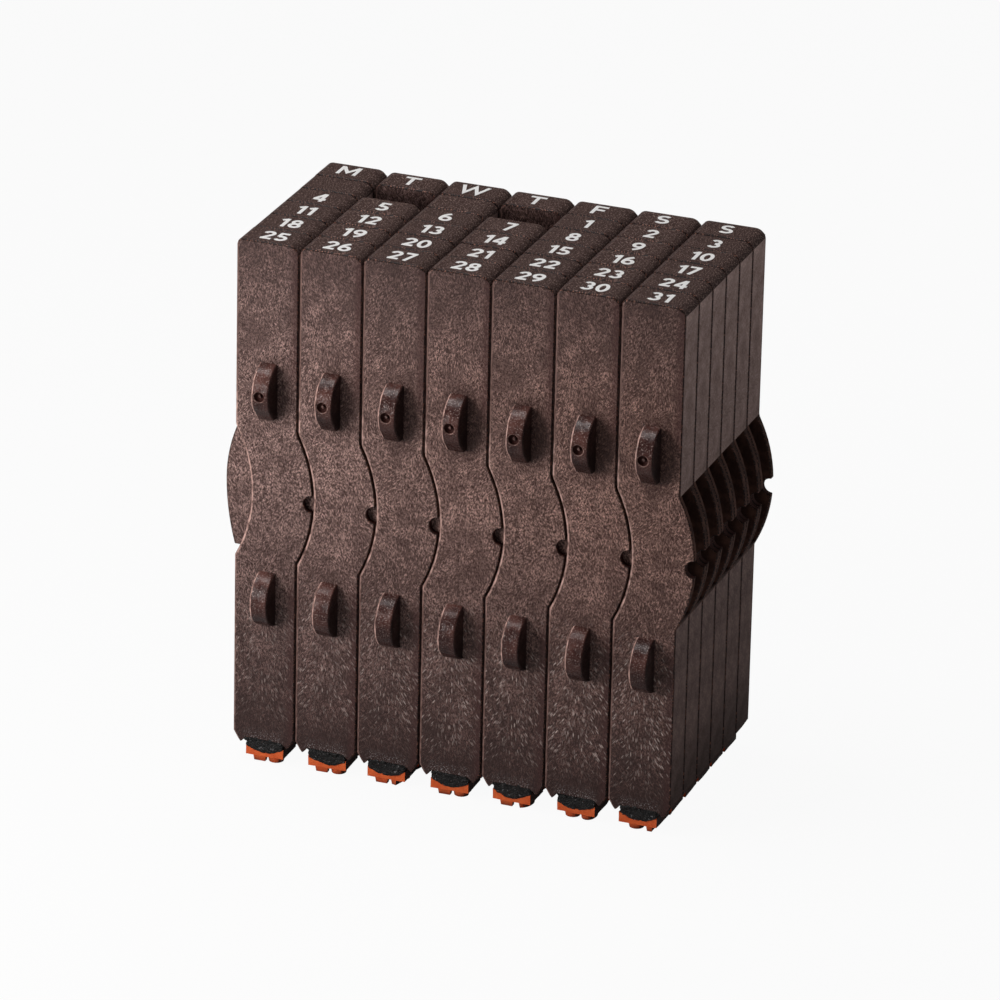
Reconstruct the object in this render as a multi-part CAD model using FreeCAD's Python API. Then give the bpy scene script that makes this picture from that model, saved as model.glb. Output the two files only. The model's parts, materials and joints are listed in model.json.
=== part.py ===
"""A month of joining rubber stamps, stood together as one block.

Each stamp is a slim moulded handle with a rubber die glued under it on a cushion.  A tongue on the
handle's left side fits the slot in its neighbour's bulge, and two half-moon lugs on its front fit
sockets in the back of the stamp before it.  Seven columns (Monday to Sunday) by six rows (weekday
letters, then five weeks) make the calendar.  In the first week two places hold blank spacers and two
are empty.

Millimetres.  +X runs from Monday to Sunday, +Y from the last week back to the weekday row, +Z up.
The origin is on the ground, under the middle of the block's outline box.
"""
import FreeCAD, Part

import math
import os

# The month
COLUMN_NAMES = ("mon", "tue", "wed", "thu", "fri", "sat", "sun")
WEEKS = 5
FIRST_DAY_COLUMN = 4        # the 1st is a Friday
BLANK_COLUMNS = (0, 2)      # spacers in the first week, on Monday and Wednesday
SPLIT_COLUMN = 4            # the block parts between Thursday and Friday
DAYS = 31

# The block
COLUMN_PITCH = 7.5          # one stamp to the next along a week
ROW_PITCH = 4.4             # one week to the next
COLUMN_GAP = 0.15           # play between two stamps of a week
ROW_GAP = 0.10              # play between two weeks

# Handle
HANDLE_HEIGHT = 60.6        # top face to the tips of the legs
TOP_LEFT_RADIUS = 0.8
TOP_RIGHT_RADIUS = 1.2

# Bulge on the right side; the hollow on the left side follows it
BULGE_DROP = 30.0           # its middle, below the top face
BULGE_REACH = 1.95
BULGE_RADIUS = 16.6
BULGE_BLEND_RADIUS = 1.5    # softens the bulge's upper end
NOTCH_DROP = 30.3
NOTCH_RADIUS = 0.95
NOTCH_SINK = 0.10           # its centre, inside the rim

# Tongue on the left side
TONGUE_DROP = 29.0          # its furthest point, below the top face
TONGUE_REACH = 1.38
TONGUE_UPPER_RADIUS = 17.0
TONGUE_LOWER_RADIUS = 30.0
TONGUE_END_DROP = 36.9      # its cut lower end

# Slot in the bulge
SLOT_FRONT_WALL = 0.70
SLOT_BACK_WALL = 0.80
SLOT_SIDE_PLAY = 0.10       # tongue to each wall
SLOT_END_PLAY = 0.20        # tongue to the slot's floor and ends

# Lugs on the front and sockets in the back
LUG_CENTRE_X = 3.95         # from the handle's left face
LUG_WIDTH = 2.1
LUG_RADIUS = 3.25
LUG_REACH = 2.65
UPPER_LUG_DROP = 17.4
LOWER_LUG_DROP = 42.5
BEVEL_START = 1.6           # on the upper lug, below its middle
BEVEL_END = 3.3
BEVEL_END_REACH = 0.8
SOCKET_PLAY = 0.12          # lug to each wall and the floor of its socket

# Legs
LEG_CHAMFER_WIDTH = 0.7
LEG_CHAMFER_HEIGHT = 1.2
LEG_TIP = 0.3
LEG_SLANT = 0.55
LEG_DEPTH = 0.6             # recess between the legs

# Cushion and die
CUSHION_WIDTH = 4.1
CUSHION_DEPTH = 3.7
CUSHION_THICKNESS = 0.8
DIE_WIDTH = 4.6
DIE_DEPTH = 3.9
DIE_PLATE = 1.3
RELIEF_HEIGHT = 0.7
FIGURE_WIDTH = 1.7          # one raised figure
FIGURE_DEPTH = 2.9
FIGURE_SPACE = 0.25         # between the two figures of a date

# Worked out from the above
HANDLE_WIDTH = COLUMN_PITCH - COLUMN_GAP
HANDLE_DEPTH = ROW_PITCH - ROW_GAP
PLATE_TOP_Z = RELIEF_HEIGHT + DIE_PLATE
RECESS_Z = PLATE_TOP_Z + CUSHION_THICKNESS
LEG_TIP_Z = RECESS_Z - LEG_DEPTH
TOP_Z = LEG_TIP_Z + HANDLE_HEIGHT
COLUMNS = len(COLUMN_NAMES)
BLOCK_WIDTH = COLUMNS * COLUMN_PITCH - COLUMN_GAP
BLOCK_DEPTH = (WEEKS + 1) * ROW_PITCH - ROW_GAP
LEFT_X = (TONGUE_REACH - BULGE_REACH - BLOCK_WIDTH) / 2.0
FRONT_Y = (LUG_REACH - BLOCK_DEPTH) / 2.0
SUNK = 1.0                  # how far a joined form runs into its neighbour, or a cut past it
HALF_ROOT = math.sqrt(0.5)


# ---------------------------------------------------------------- drawing helpers

def vec(x, y, z):
    return FreeCAD.Vector(x, y, z)


def line(start, end):
    return Part.LineSegment(start, end).toShape()


def arc(start, middle, end):
    return Part.Arc(start, middle, end).toShape()


def box(x0, x1, y0, y1, z0, z1):
    return Part.makeBox(x1 - x0, y1 - y0, z1 - z0, vec(x0, y0, z0))


def on_circle(centre, radius, angle):
    """Point of a circle in an XZ plane, its angle from +X towards +Z."""
    return centre + vec(radius * math.cos(angle), 0, radius * math.sin(angle))


# ---------------------------------------------------------------- handle
# A handle is drawn with its left face at x = 0 and its front face at y = 0.

def seam_curve(face_x, offset):
    """Upper end, lower end and edges of the curved stretch of a side face.

    The hollow that nests over a bulge at an even gap is the same curve with that gap as its offset.
    """
    radius = BULGE_RADIUS + offset
    blend = BULGE_BLEND_RADIUS - offset
    centre = vec(face_x + BULGE_REACH - radius, 0, TOP_Z - BULGE_DROP)
    across = face_x + blend - centre.x
    rise = math.sqrt((radius + blend) ** 2 - across ** 2)
    tilt = math.atan2(rise, across)
    end_angle = -math.acos((face_x - centre.x) / radius)
    blend_centre = centre + vec(across, 0, rise)
    upper = blend_centre - vec(blend, 0, 0)
    joint = on_circle(centre, radius, tilt)
    lower = on_circle(centre, radius, end_angle)
    edges = [
        arc(upper, on_circle(blend_centre, blend, math.pi + tilt / 2.0), joint),
        arc(joint, on_circle(centre, radius, (tilt + end_angle) / 2.0), lower),
    ]
    return upper, lower, edges


def top_edges():
    """The top face with its two rounded edges, and the ends of the straight sides."""
    left, right = TOP_LEFT_RADIUS, TOP_RIGHT_RADIUS
    left_side = vec(0, 0, TOP_Z - left)
    right_side = vec(HANDLE_WIDTH, 0, TOP_Z - right)
    left_end = vec(left, 0, TOP_Z)
    right_end = vec(HANDLE_WIDTH - right, 0, TOP_Z)
    left_middle = vec(left, 0, TOP_Z - left) + vec(-left * HALF_ROOT, 0, left * HALF_ROOT)
    right_middle = vec(HANDLE_WIDTH - right, 0, TOP_Z - right) + vec(right * HALF_ROOT, 0, right * HALF_ROOT)
    edges = [
        arc(left_side, left_middle, left_end),
        line(left_end, right_end),
        arc(right_end, right_middle, right_side),
    ]
    return left_side, right_side, edges


def leg_points():
    """The underside from right to left: leg, recess for the cushion, leg."""
    inner = LEG_CHAMFER_WIDTH + LEG_TIP
    recess = inner + LEG_SLANT
    right_half = [
        vec(HANDLE_WIDTH, 0, LEG_TIP_Z + LEG_CHAMFER_HEIGHT),
        vec(HANDLE_WIDTH - LEG_CHAMFER_WIDTH, 0, LEG_TIP_Z),
        vec(HANDLE_WIDTH - inner, 0, LEG_TIP_Z),
        vec(HANDLE_WIDTH - recess, 0, RECESS_Z),
    ]
    return right_half + [vec(HANDLE_WIDTH - p.x, 0, p.z) for p in reversed(right_half)]


def slab():
    """The handle's S-shaped outline, as thick as the handle."""
    left_side, right_side, edges = top_edges()
    bulge_upper, bulge_lower, bulge = seam_curve(HANDLE_WIDTH, 0.0)
    hollow_upper, hollow_lower, hollow = seam_curve(0.0, COLUMN_GAP)
    underside = [bulge_lower] + leg_points() + [hollow_lower]
    edges.append(line(right_side, bulge_upper))
    edges.extend(bulge)
    edges.extend(line(a, b) for a, b in zip(underside, underside[1:]))
    edges.extend(hollow)
    edges.append(line(hollow_upper, left_side))
    outline = Part.Wire(Part.__sortEdges__(edges))
    return Part.Face(outline).extrude(vec(0, HANDLE_DEPTH, 0))


def tongue():
    """The crescent blade on the left side, its root sunk in the slab."""
    apex = vec(-TONGUE_REACH, 0, TOP_Z - TONGUE_DROP)
    upper_centre = apex + vec(TONGUE_UPPER_RADIUS, 0, 0)
    lower_centre = apex + vec(TONGUE_LOWER_RADIUS, 0, 0)
    upper_turn = math.acos((upper_centre.x - SUNK) / TONGUE_UPPER_RADIUS)
    lower_turn = math.asin((TONGUE_END_DROP - TONGUE_DROP) / TONGUE_LOWER_RADIUS)
    top = on_circle(upper_centre, TONGUE_UPPER_RADIUS, math.pi - upper_turn)
    upper_middle = on_circle(upper_centre, TONGUE_UPPER_RADIUS, math.pi - upper_turn / 2.0)
    lower_middle = on_circle(lower_centre, TONGUE_LOWER_RADIUS, math.pi + lower_turn / 2.0)
    end = on_circle(lower_centre, TONGUE_LOWER_RADIUS, math.pi + lower_turn)
    root_top = vec(BULGE_REACH + SUNK, 0, top.z)
    root_end = vec(BULGE_REACH + SUNK, 0, end.z)
    outline = Part.Wire([
        arc(top, upper_middle, apex),
        arc(apex, lower_middle, end),
        line(end, root_end),
        line(root_end, root_top),
        line(root_top, top),
    ])
    face = Part.Face(outline)
    face.translate(vec(0, SLOT_FRONT_WALL + SLOT_SIDE_PLAY, 0))
    return face.extrude(vec(0, HANDLE_DEPTH - SLOT_FRONT_WALL - SLOT_BACK_WALL - 2 * SLOT_SIDE_PLAY, 0))


def slot():
    """The space in the bulge that takes the next stamp's tongue."""
    rise = math.sqrt(2 * TONGUE_UPPER_RADIUS * TONGUE_REACH - TONGUE_REACH ** 2)
    return box(
        COLUMN_PITCH - TONGUE_REACH - SLOT_END_PLAY, HANDLE_WIDTH + BULGE_REACH + SUNK,
        SLOT_FRONT_WALL, HANDLE_DEPTH - SLOT_BACK_WALL,
        TOP_Z - TONGUE_END_DROP - SLOT_END_PLAY, TOP_Z - TONGUE_DROP + rise + SLOT_END_PLAY,
    )


def notch():
    """The half-round notch through both walls of the slot."""
    start = vec(HANDLE_WIDTH + BULGE_REACH - NOTCH_SINK, -SUNK, TOP_Z - NOTCH_DROP)
    return Part.makeCylinder(NOTCH_RADIUS, HANDLE_DEPTH + 2 * SUNK, start, vec(0, 1, 0))


def lug_half_height(y):
    """Half the height of a lug's round outline at depth y, its axis lying behind the front face."""
    return math.sqrt(LUG_RADIUS ** 2 - (LUG_RADIUS - LUG_REACH - y) ** 2)


def lug(drop, bevelled):
    """A half-moon lug on the front face; the upper one is bevelled at its lower end."""
    left = LUG_CENTRE_X - LUG_WIDTH / 2.0
    middle_z = TOP_Z - drop
    root_y = LUG_RADIUS - LUG_REACH
    start = vec(left, root_y, middle_z + lug_half_height(root_y))
    apex = vec(left, -LUG_REACH, middle_z)
    if bevelled:
        crease_y = root_y - math.sqrt(LUG_RADIUS ** 2 - BEVEL_START ** 2)
        crease = vec(left, crease_y, middle_z - BEVEL_START)
        corner = vec(left, -BEVEL_END_REACH, middle_z - BEVEL_END)
        end = vec(left, root_y, middle_z - BEVEL_END)
        edges = [arc(start, apex, crease), line(crease, corner), line(corner, end)]
    else:
        end = vec(left, root_y, middle_z - lug_half_height(root_y))
        edges = [arc(start, apex, end)]
    edges.append(line(end, start))
    return Part.Face(Part.Wire(edges)).extrude(vec(LUG_WIDTH, 0, 0))


def socket(drop, bevelled):
    """The pocket in the back that takes the lug of the stamp behind."""
    middle_z = TOP_Z - drop
    upper_half = lug_half_height(0.0)
    lower_half = BEVEL_END if bevelled else upper_half
    side = LUG_WIDTH / 2.0 + SOCKET_PLAY
    floor_y = HANDLE_DEPTH + ROW_GAP - LUG_REACH - SOCKET_PLAY
    return box(
        LUG_CENTRE_X - side, LUG_CENTRE_X + side,
        floor_y, HANDLE_DEPTH + SUNK,
        middle_z - lower_half - SOCKET_PLAY, middle_z + upper_half + SOCKET_PLAY,
    )


def handle():
    body = slab().fuse([tongue(), lug(UPPER_LUG_DROP, True), lug(LOWER_LUG_DROP, False)])
    body = body.cut([slot(), notch(), socket(UPPER_LUG_DROP, True), socket(LOWER_LUG_DROP, False)])
    return body.removeSplitter().Solids[0]


# ---------------------------------------------------------------- cushion and die

def centred_box(width, depth, z0, z1):
    """A box under the middle of a handle."""
    x0 = (HANDLE_WIDTH - width) / 2.0
    y0 = (HANDLE_DEPTH - depth) / 2.0
    return box(x0, x0 + width, y0, y0 + depth, z0, z1)


def cushion():
    return centred_box(CUSHION_WIDTH, CUSHION_DEPTH, PLATE_TOP_Z, RECESS_Z)


def die(figures):
    """A rubber plate with one or two raised figures that touch the ground."""
    plate = centred_box(DIE_WIDTH, DIE_DEPTH, RELIEF_HEIGHT, PLATE_TOP_Z)
    step = FIGURE_WIDTH + FIGURE_SPACE
    first = -step * (figures - 1) / 2.0
    raised = []
    for index in range(figures):
        figure = centred_box(FIGURE_WIDTH, FIGURE_DEPTH, 0.0, RELIEF_HEIGHT + DIE_PLATE / 2.0)
        figure.translate(vec(first + index * step, 0, 0))
        raised.append(figure)
    return plate.fuse(raised).removeSplitter().Solids[0]


# ---------------------------------------------------------------- calendar

def day_at(week, column):
    """The date in a place of the calendar, or None outside the month."""
    day = (week - 1) * COLUMNS + column - FIRST_DAY_COLUMN + 1
    return day if 1 <= day <= DAYS else None


def placed(shape, row, column):
    """A copy in its place; row 0 is the weekday row, at the back."""
    copy = shape.copy()
    copy.translate(vec(LEFT_X + column * COLUMN_PITCH, FRONT_Y + (WEEKS - row) * ROW_PITCH, 0))
    return copy


def save(name, shapes):
    shape = shapes[0] if len(shapes) == 1 else Part.makeCompound(shapes)
    shape.exportStep("parts/%s.step" % name)


def save_handles(blank_handle):
    """One node to a handle; two handles with the same print share a node, and so do the blanks."""
    for letter_columns in ((0,), (1, 3), (2,), (4,), (5, 6)):
        label = "_".join(COLUMN_NAMES[column] for column in letter_columns)
        save("handle_weekday_" + label, [placed(blank_handle, 0, column) for column in letter_columns])
    save("handles_blank", [placed(blank_handle, 1, column) for column in BLANK_COLUMNS])
    for week in range(1, WEEKS + 1):
        for column in range(COLUMNS):
            day = day_at(week, column)
            if day:
                save("handle_day_%02d" % day, [placed(blank_handle, week, column)])


def save_dies(row, side, columns):
    """The dies and cushions of one side of a row."""
    dies = []
    cushions = []
    for column in columns:
        day = day_at(row, column) if row else None
        if row and not day:
            continue
        figures = 2 if day and day > 9 else 1
        dies.append(placed(die(figures), row, column))
        cushions.append(placed(cushion(), row, column))
    row_name = "week_%d" % row if row else "weekdays"
    if dies:
        save("dies_%s_%s" % (row_name, side), dies)
        save("cushions_%s_%s" % (row_name, side), cushions)


os.makedirs("parts", exist_ok=True)
save_handles(handle())
for row in range(WEEKS + 1):
    save_dies(row, "left", range(SPLIT_COLUMN))
    save_dies(row, "right", range(SPLIT_COLUMN, COLUMNS))
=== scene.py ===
"""Looks of a block of joining calendar stamps.

Moulded handles of fibre-filled resin with printed tops, orange rubber dies with mirrored figures, and
the black glue cushions between them.  Lengths are written in millimetres and multiplied by MM, except
in the materials, which are laid out in plain millimetres.
"""

import functools
import json
import math
import random

import bmesh
import bpy
from mathutils import Euler, Matrix, Vector
from mathutils.geometry import delaunay_2d_cdt

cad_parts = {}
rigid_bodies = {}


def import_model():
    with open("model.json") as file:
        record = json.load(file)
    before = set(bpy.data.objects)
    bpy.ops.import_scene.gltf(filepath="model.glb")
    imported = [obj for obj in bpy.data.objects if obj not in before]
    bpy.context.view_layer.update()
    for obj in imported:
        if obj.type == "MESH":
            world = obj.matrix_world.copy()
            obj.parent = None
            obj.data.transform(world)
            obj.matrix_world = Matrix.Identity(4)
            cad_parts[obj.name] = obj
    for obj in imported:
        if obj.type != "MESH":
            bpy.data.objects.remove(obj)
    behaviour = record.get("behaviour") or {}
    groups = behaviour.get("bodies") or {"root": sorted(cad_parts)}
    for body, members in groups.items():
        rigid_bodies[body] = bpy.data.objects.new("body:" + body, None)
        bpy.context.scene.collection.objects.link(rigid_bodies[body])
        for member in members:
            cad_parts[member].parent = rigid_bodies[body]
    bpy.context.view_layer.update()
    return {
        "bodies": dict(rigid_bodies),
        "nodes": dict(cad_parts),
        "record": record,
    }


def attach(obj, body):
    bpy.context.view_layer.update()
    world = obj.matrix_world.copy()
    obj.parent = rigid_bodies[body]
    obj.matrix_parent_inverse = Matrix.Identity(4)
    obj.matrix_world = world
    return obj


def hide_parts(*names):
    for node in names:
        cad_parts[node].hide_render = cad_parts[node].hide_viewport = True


MM = 0.001

# The block, as the frame has it
COLUMN_PITCH = 7.5 * MM
ROW_PITCH = 4.4 * MM
HANDLE_WIDTH = 7.35 * MM
HANDLE_DEPTH = 4.3 * MM
BULGE_REACH = 1.95 * MM
LEFT_X = -26.46 * MM
FRONT_Y = -11.825 * MM
TOP_Z = 62.8 * MM
COLUMNS = 7
WEEKS = 5
SPLIT_COLUMN = 4
FIRST_DAY_COLUMN = 4
DAYS = 31
BLANK_PLACES = ((1, 0), (1, 2))
WEEKDAY_LETTERS = "MTWTFSS"

# Small differences between one stamp and the next
LIFT_PLAY = 0.05 * MM
DIE_SHIFT = 0.16 * MM
DIE_TURN = math.radians(1.6)

# Handle
EDGE_ROUNDING = 0.12 * MM
LEFT_ROUNDING = 0.27 * MM   # along the left side of the front face
ROW_ROUNDING = 0.20 * MM    # where two rows meet on the tops
LUG_ROUNDING = 0.22 * MM
ROUNDING_STEPS = 3
SHARP_ANGLE = math.radians(24)
ROUNDED_ANGLE = math.radians(35)
FLAT_ANGLE = math.radians(0.4)
SHORTEST_EDGE = 0.05 * MM
LARGE_FACE = 1.0 * MM ** 2
GATE_DROP = 17.35 * MM
GATE_OFFSET = 0.12 * MM     # left of the lug's middle
GATE_RADIUS = 0.60 * MM
GATE_CHAMFER = 0.14 * MM
GATE_DEPTH = 0.55 * MM
NUB_RADIUS = 0.20 * MM
NUB_ROOT = 0.15 * MM        # how deep the nub is set in the pit's floor
NUB_HEIGHTS = (0.16 * MM, 0.26 * MM, 0.29 * MM)
NUB_SHIFT = Vector((0.04 * MM, 0, 0.02 * MM))
LUG_CENTRE_X = 3.95 * MM
LUG_REACH = 2.65 * MM
GATE_CENTRE = Vector((LUG_CENTRE_X - GATE_OFFSET, -LUG_REACH, TOP_Z - GATE_DROP))
NOTCH_CENTRE = Vector((HANDLE_WIDTH + BULGE_REACH - 0.10 * MM, 0, TOP_Z - 30.3 * MM))
NOTCH_RADIUS = 0.95 * MM
TOP_ZONE = 1.3 * MM         # how far the rounded top edges come down
HAIR = 0.01 * MM            # the least that tells two planes apart
ZONES = ("skin", "side", "top", "inner", "worn", "crest", "pit", "flank")

# Print on the top faces
PRINT_HEIGHT = 2.45 * MM
PRINT_THICKNESS = 0.025 * MM
PRINT_SUNK = 0.01 * MM
NUMBER_CENTRE = (3.72 * MM, 2.1 * MM)
LETTER_CENTRE = (3.45 * MM, 2.3 * MM)
PRINT_STROKE = 0.175

# Dies and cushions
DIE_WIDTH = 4.5 * MM
DIE_DEPTH = 3.9 * MM
RELIEF_HEIGHT = 0.7 * MM
DIE_PLATE = 1.2 * MM        # at its upturned left and right ends
DIE_DISH = 0.65 * MM
DISH_POWER = 1.7
PLATE_POINTS = (17, 11, 5)  # along its width, depth and thickness
PLATE_GRAIN = 700.0         # noise cells in a metre, as are the grains below
FIGURE_DEPTH = 2.6 * MM
FIGURE_STROKE = 0.21
FIGURE_OFFSET = (0.18 * MM, -0.33 * MM)   # from the die's middle
FIGURE_SUNK = 0.2 * MM
FIGURE_DRAFT = 0.13 * MM
CUSHION_WIDTH = 4.35 * MM
CUSHION_DEPTH = 4.0 * MM
CUSHION_TOP = 2.85 * MM
CUSHION_POINTS = (31, 25, 11)
CUSHION_LUMPS = 600.0
CUSHION_GRAIN = 2400.0
CUSHION_SUNK = 0.1 * MM
CUSHION_THICKNESS = CUSHION_TOP - RELIEF_HEIGHT - DIE_PLATE + DIE_DISH + CUSHION_SUNK
CRUMB_RADIUS = 0.30 * MM
CRUMB_SQUASH = (1.25, 0.6, 1.0)
CRUMB_GRAIN = 2600.0
CRUMBS = 11                 # along the front of a handle's foot
CRUMB_SPAN = 4.4 * MM
CRUMB_SHIFT = 0.12 * MM
CRUMB_DROP = 0.35 * MM
CRUMB_INWARD = (0.10 * MM, 0.2 * MM)
CRUMB_SEED = 21


# ---- stamps of the block

class Stamp:
    """One place of the calendar that holds a stamp."""

    def __init__(self, row, column):
        chance = random.Random(row * COLUMNS + column)
        day = (row - 1) * COLUMNS + column - FIRST_DAY_COLUMN + 1 if row else 0
        self.label = WEEKDAY_LETTERS[column] if not row else str(day) if 1 <= day <= DAYS else ""
        self.blank = (row, column) in BLANK_PLACES
        self.body = ("week_%d" % row if row else "weekdays") + ("_left" if column < SPLIT_COLUMN else "_right")
        left, front = LEFT_X + column * COLUMN_PITCH, FRONT_Y + (WEEKS - row) * ROW_PITCH
        self.corner = Vector((left, front, chance.uniform(-LIFT_PLAY, LIFT_PLAY)))
        middle = self.corner.x + HANDLE_WIDTH / 2 + chance.uniform(-DIE_SHIFT, DIE_SHIFT)
        self.die_centre = Vector((middle, self.corner.y + HANDLE_DEPTH / 2, 0))
        self.die_turn = chance.uniform(-DIE_TURN, DIE_TURN)


def all_stamps():
    """Every stamp of the block, back row first."""
    stamps = [Stamp(row, column) for row in range(WEEKS + 1) for column in range(COLUMNS)]
    return [stamp for stamp in stamps if stamp.label or stamp.blank]


# ---- node graphs

class Graph:
    """Adds nodes to a node tree and links them."""

    def __init__(self, tree):
        self.tree = tree

    def feed(self, socket, value):
        """Links another node's output to the socket, or sets a plain value."""
        if isinstance(value, bpy.types.NodeSocket):
            self.tree.links.new(value, socket)
        else:
            socket.default_value = value

    def add(self, kind, inputs=None, **settings):
        """A new node with its settings and inputs."""
        node = self.tree.nodes.new(kind)
        for name, value in settings.items():
            setattr(node, name, value)
        for name, value in (inputs or {}).items():
            self.feed(node.inputs[name], value)
        return node

    def math(self, operation, first, second=0.0):
        return self.add("ShaderNodeMath", {0: first, 1: second}, operation=operation).outputs[0]

    def times(self, *values):
        return functools.reduce(functools.partial(self.math, "MULTIPLY"), values)

    def most(self, *values):
        return functools.reduce(functools.partial(self.math, "MAXIMUM"), values)

    def plus(self, first, second):
        return self.math("ADD", first, second)

    def inverse(self, value):
        return self.math("SUBTRACT", 1.0, value)

    def vector(self, operation, first, second):
        return self.add("ShaderNodeVectorMath", {0: first, 1: second}, operation=operation).outputs[0]

    def scaled(self, vector, factor):
        return self.add("ShaderNodeVectorMath", {0: vector, "Scale": factor}, operation="SCALE").outputs[0]

    def split(self, vector):
        """The x, y and z of a vector."""
        return tuple(self.add("ShaderNodeSeparateXYZ", {0: vector}).outputs)

    def join(self, x=0.0, y=0.0, z=0.0):
        """A vector from its x, y and z."""
        return self.add("ShaderNodeCombineXYZ", {0: x, 1: y, 2: z}).outputs[0]

    def remap(self, value, low, high, to_low=0.0, to_high=1.0):
        """The value carried from one range to another, held at both ends."""
        node = self.add("ShaderNodeMapRange", {0: value, 1: low, 2: high, 3: to_low, 4: to_high})
        return node.outputs[0]

    def band(self, value, rise, fall):
        """1 where the value is past both fades, 0 outside them."""
        return self.times(self.remap(value, *rise), self.remap(value, *fall))

    def ends(self, value, one, other):
        """1 where the value is past either of two fades."""
        return self.most(self.remap(value, *one), self.remap(value, *other))

    def noise(self, place, scale, detail=2.0, roughness=0.5):
        """A noise texture's outputs: its strength, then its colour."""
        sockets = {"Vector": place, "Scale": scale, "Detail": detail, "Roughness": roughness}
        return self.add("ShaderNodeTexNoise", sockets).outputs


# ---- materials

def srgb(red, green, blue):
    """A colour from its 0 to 255 screen values."""
    def linear(value):
        value /= 255.0
        return value / 12.92 if value <= 0.04045 else ((value + 0.055) / 1.055) ** 2.4
    return (linear(red), linear(green), linear(blue), 1.0)


class Finish(Graph):
    """A material with its main shader, laid out in millimetres of the object's own space."""

    def __init__(self, name):
        self.material = bpy.data.materials.new(name)
        self.material.use_nodes = True
        super().__init__(self.material.node_tree)
        self.shader = self.tree.nodes["Principled BSDF"]
        self.place = self.millimetres(self.add("ShaderNodeTexCoord").outputs["Object"])

    def millimetres(self, place):
        return self.vector("MULTIPLY", place, (1 / MM,) * 3)

    def attribute(self, name, output="Fac"):
        return self.add("ShaderNodeAttribute", attribute_name=name).outputs[output]

    def mix(self, share, first, second, blend="MIX"):
        sockets = {0: share, 6: first, 7: second}
        return self.add("ShaderNodeMix", sockets, data_type="RGBA", blend_type=blend).outputs[2]

    def set(self, name, value):
        """Feeds one input of the main shader."""
        self.feed(self.shader.inputs[name], value)

    def bump(self, height, strength, distance):
        sockets = {"Height": height, "Strength": strength, "Distance": distance}
        self.set("Normal", self.add("ShaderNodeBump", sockets).outputs[0])


# Resin colours; a pair holds the ground and what lies in it
# Fronts: paler, denser fibres and a painted sheen at mid-height, painted shade towards the top and the foot
FRONT_ENDS_SPARSE_AND_SHADED = (srgb(46, 30, 28), srgb(146, 114, 108))
FRONT_MIDDLE_DENSE_AND_LIT = (srgb(54, 31, 28), srgb(250, 210, 200))
WARM_TINT = (1.0, 0.86, 0.77, 1.0)
FAN_COLOUR = srgb(214, 194, 186)
# Painted shade along each handle's right margin, next to the seam
MARGIN_PAINTED_SHADE = srgb(84, 49, 47)
BURR_COLOUR = srgb(172, 164, 164)
# Right walls: a shaded copy low and a lit copy high, both painted; the foot painted darker still
LOW_WALL_PAINTED_SHADE = (srgb(64, 48, 45), srgb(160, 134, 127))
HIGH_WALL_PAINTED_LIGHT = (srgb(112, 88, 82), srgb(230, 200, 192))
WALL_FOOT_PAINTED_SHADE = srgb(30, 19, 16)
SEAM_COLOUR = srgb(40, 20, 18)
CAP = (srgb(62, 43, 39), srgb(172, 144, 134))
MOULDED = (srgb(56, 30, 27), srgb(94, 60, 54))
MOULDED_SPECK = srgb(204, 178, 170)
# Painted shade under the lugs and on their right sides
UNDER_LUG_PAINTED_SHADE = srgb(34, 15, 13)
LUG_FLANK_PAINTED_SHADE = srgb(18, 6, 5)
HOLLOW = (srgb(58, 34, 27), srgb(96, 64, 53))
RIM = (srgb(26, 14, 12), srgb(156, 106, 90))
RIDGE = (srgb(26, 13, 11), srgb(176, 122, 104))
# Pale wear with a painted highlight, on the left edges, the lugs' left edges and the gate's rim
WEAR_AND_PAINTED_HIGHLIGHT = (srgb(76, 50, 45), srgb(206, 168, 157))
# Painted shade on the walls of the gate's pit and of the notch
PIT_PAINTED_SHADE = srgb(52, 17, 10)
DARKER_STAMP = srgb(40, 28, 25)

# Fades over a handle, in millimetres: none at the first value, full at the second, and the least and
# the most where they aren't 0 and 1.  Heights are above the floor, widths from the left, depths inward.
# The lighter middle of the front is partly denser fibres and partly painted sheen
FIBRE_AND_SHEEN_HEIGHTS = ((9.0, 35.0), (66.0, 50.0))
FAN_HEIGHTS = ((25.0, 19.0), (4.5, 9.5, 0.12, 1.0))
CLEAR_FOOT = (3.5, 9.0, 0.4, 1.0)
STRAIGHT_HEIGHTS = ((45.0, 48.0), (24.0, 21.0))
# Heights where the pale wear and painted highlight along the left edges are strongest
BULGE_HEIGHTS = ((46.0, 43.5), (22.0, 27.0))
# Heights of the painted shade under the lugs
UNDER_UPPER_LUG = ((46.5, 43.5), (30.0, 31.0))
UNDER_LOWER_LUG = (21.5, 18.5)
BURR_HEIGHTS = (4.3, 3.2)
BURR_WIDTHS = ((1.0, 1.6), (6.3, 5.7))
MARGIN_WIDTHS = (6.2, 7.0, 0.0, 0.45)
# Heights of the right walls' painted light and shade
WALL_HEIGHTS = (20.0, 62.0)
WALL_FOOT = (12.0, 3.0, 0.0, 0.7)
SEAM_DEPTHS = ((0.36, 0.18), (3.94, 4.12))
HALO_CENTRE = (LUG_CENTRE_X / MM + 0.6, 0.0, (TOP_Z - GATE_DROP) / MM)
HALO_SIZE = (2.6, 4.6)
HALO_FADE = (1.25, 0.75)

# The same over the whole block, from its left to its right
FAN_GROWTH = (-26.0, 22.0, 0.5, 1.0)
HALO_GROWTH = (-26.0, 0.0, 0.3, 0.6)
WARMTH_GROWTH = (-20.0, 22.0, 0.1, 0.8)

# Painted shade low on the dies' raised figures, near the floor
RELIEF_SHADE_HEIGHTS = (0.62, 0.12)   # on the raised figures of the dies

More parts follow.
